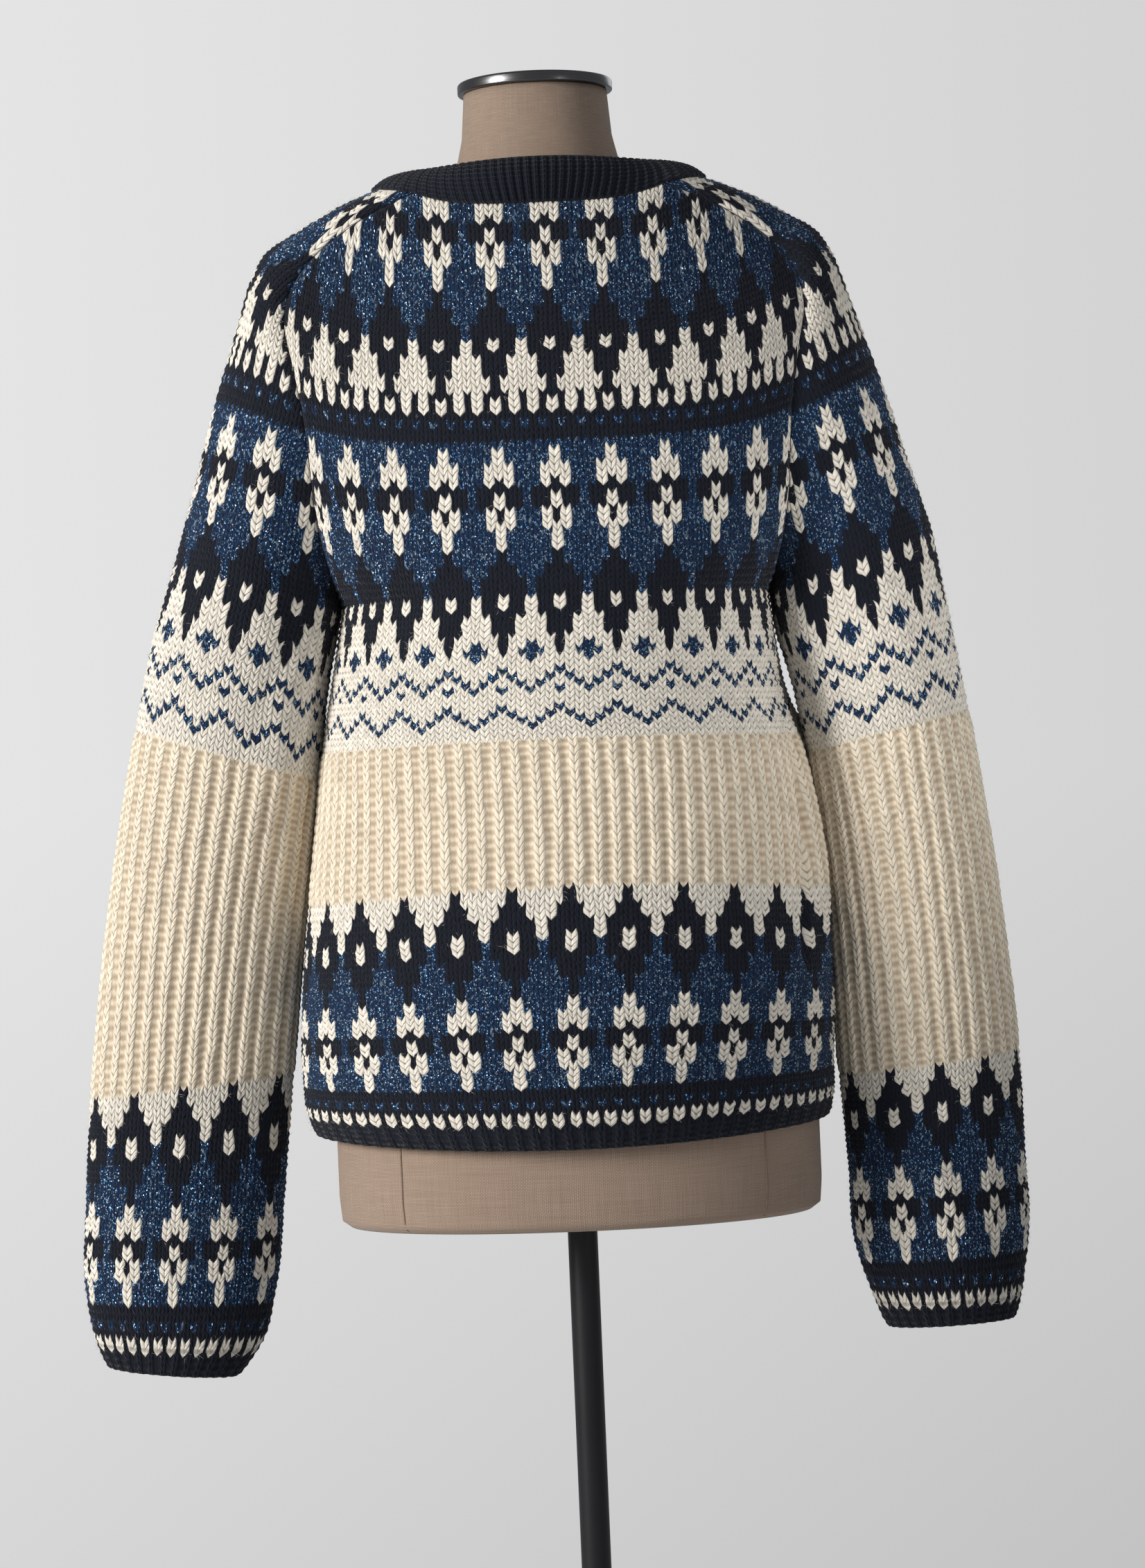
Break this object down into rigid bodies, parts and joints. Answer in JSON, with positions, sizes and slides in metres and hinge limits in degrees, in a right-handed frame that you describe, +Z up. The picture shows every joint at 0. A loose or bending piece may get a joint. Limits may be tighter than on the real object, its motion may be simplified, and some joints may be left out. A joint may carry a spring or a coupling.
{
  "type": "raglan knit sweater on a limbless dress form with a pole stand",
  "caption": "Loose raglan knit sweater in a banded geometric pattern, worn open and hollow over a linen dress form on a pole with a round floor base.",
  "frame": {"origin": "on the floor, under the middle of the round base", "axes": "+Z up along the pole, +X towards the garment's right sleeve, -Y towards the side that the picture shows, which is the garment's back"},
  "size_m": [0.6713, 0.38, 1.5194],
  "materials": {
    "base": "black powder coat",
    "pole": "black satin",
    "neck_cap": "turned metal disc",
    "dress_form": "stretched linen cover over a firm core",
    "back_panel": "wool knit, stranded and ribbed",
    "front_panel": "wool knit, stranded and ribbed",
    "sleeve_left": "wool knit, stranded and ribbed",
    "sleeve_right": "wool knit, stranded and ribbed",
    "neckband": "folded rib knit"
  },
  "bodies": {
    "root": {"base": "base", "pole": "pole", "neck_cap": "neck_cap", "dress_form": "dress_form", "back_panel": "back_panel", "front_panel": "front_panel", "sleeve_left": "sleeve_left", "sleeve_right": "sleeve_right", "neckband": "neckband"}
  },
  "joints": []
}
